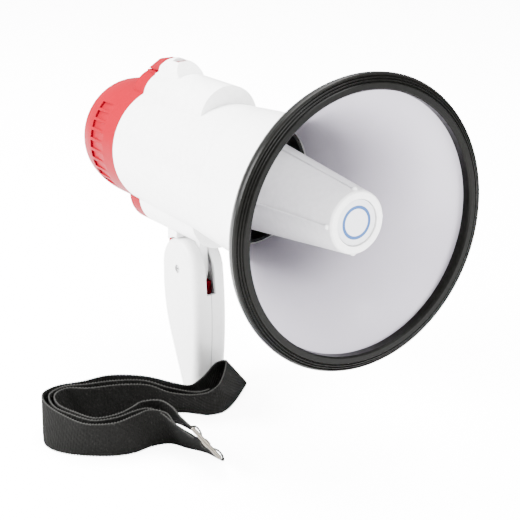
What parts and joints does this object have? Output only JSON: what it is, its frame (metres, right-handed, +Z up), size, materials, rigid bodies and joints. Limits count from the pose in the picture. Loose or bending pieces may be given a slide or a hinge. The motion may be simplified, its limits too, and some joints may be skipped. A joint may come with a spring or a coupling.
{
  "type": "handheld megaphone",
  "caption": "Handheld battery megaphone: flared horn with reflector cone, folding pistol grip with thumb trigger, rear controls and a carrying strap of webbing.",
  "frame": {"origin": "middle of the grip's heel, on the floor that the heel stands on", "axes": "+X the way the horn points, +Y the speaker's left, +Z up"},
  "size_m": [0.2586, 0.1949, 0.227],
  "materials": {
    "white_plastic": "moulded white, satin gloss",
    "red_plastic": "moulded red, satin gloss",
    "grip_plastic": "moulded white, satin gloss",
    "rim_rubber": "black, smooth, slightly shiny",
    "badge": "plain pale disc",
    "black_plastic": "black",
    "grey_plastic": "grey",
    "soft_rubber": "black",
    "steel": "plated",
    "magnet_iron": "dark ferrite",
    "board_green": "solder mask",
    "cell_jacket": "plain printed jacket",
    "chip_black": "black anodised heat sink",
    "can_sleeve": "dark blue sleeve",
    "nickel_wire": "nickel plated",
    "webbing": "black woven webbing"
  },
  "bodies": {
    "head": {"amplifier_chip": "chip_black", "badge": "badge", "barrel_shell": "white_plastic", "batteries_lower": "cell_jacket", "batteries_upper": "cell_jacket", "battery_contacts": "steel", "battery_springs": "steel", "battery_tray_lower": "black_plastic", "battery_tray_upper": "black_plastic", "board_capacitors": "can_sleeve", "button_switches": "black_plastic", "circuit_board": "board_green", "control_board": "board_green", "driver_diaphragm": "black_plastic", "driver_frame": "steel", "driver_magnet": "magnet_iron", "driver_screws": "steel", "horn_bell": "white_plastic", "latch_pin": "steel", "latch_spring": "steel", "mic_boot": "soft_rubber", "mic_capsule": "steel", "mic_grille": "black_plastic", "mode_switch": "black_plastic", "rear_cover": "red_plastic", "reflector_cone": "white_plastic", "rim_trim": "rim_rubber", "throat_plate": "black_plastic", "throat_tube": "black_plastic", "volume_pot": "black_plastic"},
    "handle": {"handle_left_shell": "grip_plastic", "handle_right_shell": "grip_plastic", "handle_screws": "steel", "pivot_screw": "steel", "pivot_nut": "steel", "trigger_pin": "steel", "trigger_spring": "steel", "trigger_switch": "black_plastic"},
    "trigger": {"talk_trigger": "red_plastic"},
    "latch": {"cover_latch": "red_plastic"},
    "volume": {"volume_knob": "black_plastic"},
    "mode": {"mode_slider": "black_plastic"},
    "record": {"record_button": "grey_plastic"},
    "siren": {"siren_button": "grey_plastic"},
    "strap": {"strap_webbing": "webbing", "strap_slider": "nickel_wire"}
  },
  "joints": [
    {"name": "handle_fold", "type": "hinge", "parent": "head", "child": "handle", "pos_m": [-0.0093, 0, 0.0768], "axis": [0, -1, 0], "range_deg": [0, 85]},
    {"name": "trigger_press", "type": "hinge", "parent": "handle", "child": "trigger", "pos_m": [-0.0206, 0, 0.051], "axis": [0, 1, 0], "range_deg": [0, 3], "stiffness_Nm_per_rad": 0.3, "springref_deg": -5.73},
    {"name": "latch_tilt", "type": "hinge", "parent": "head", "child": "latch", "pos_m": [-0.024, 0, 0.1984], "axis": [0, 1, 0], "range_deg": [0, 8], "stiffness_Nm_per_rad": 0.05, "springref_deg": -11.46},
    {"name": "volume_turn", "type": "hinge", "parent": "head", "child": "volume", "pos_m": [-0.091, 0, 0.1625], "axis": [1, 0, 0], "range_deg": [-135, 135]},
    {"name": "mode_slide", "type": "slide", "parent": "head", "child": "mode", "axis": [0, 1, 0], "range_m": [-0.003, 0.003]},
    {"name": "record_press", "type": "slide", "parent": "head", "child": "record", "axis": [1, 0, 0], "range_m": [0, 0.0012], "stiffness_N_per_m": 200, "springref_m": -0.001},
    {"name": "siren_press", "type": "slide", "parent": "head", "child": "siren", "axis": [1, 0, 0], "range_m": [0, 0.0012], "stiffness_N_per_m": 200, "springref_m": -0.001},
    {"name": "strap_slide", "type": "slide", "parent": "head", "child": "strap", "axis": [0, -1, 0], "range_m": [0, 0.15]}
  ]
}
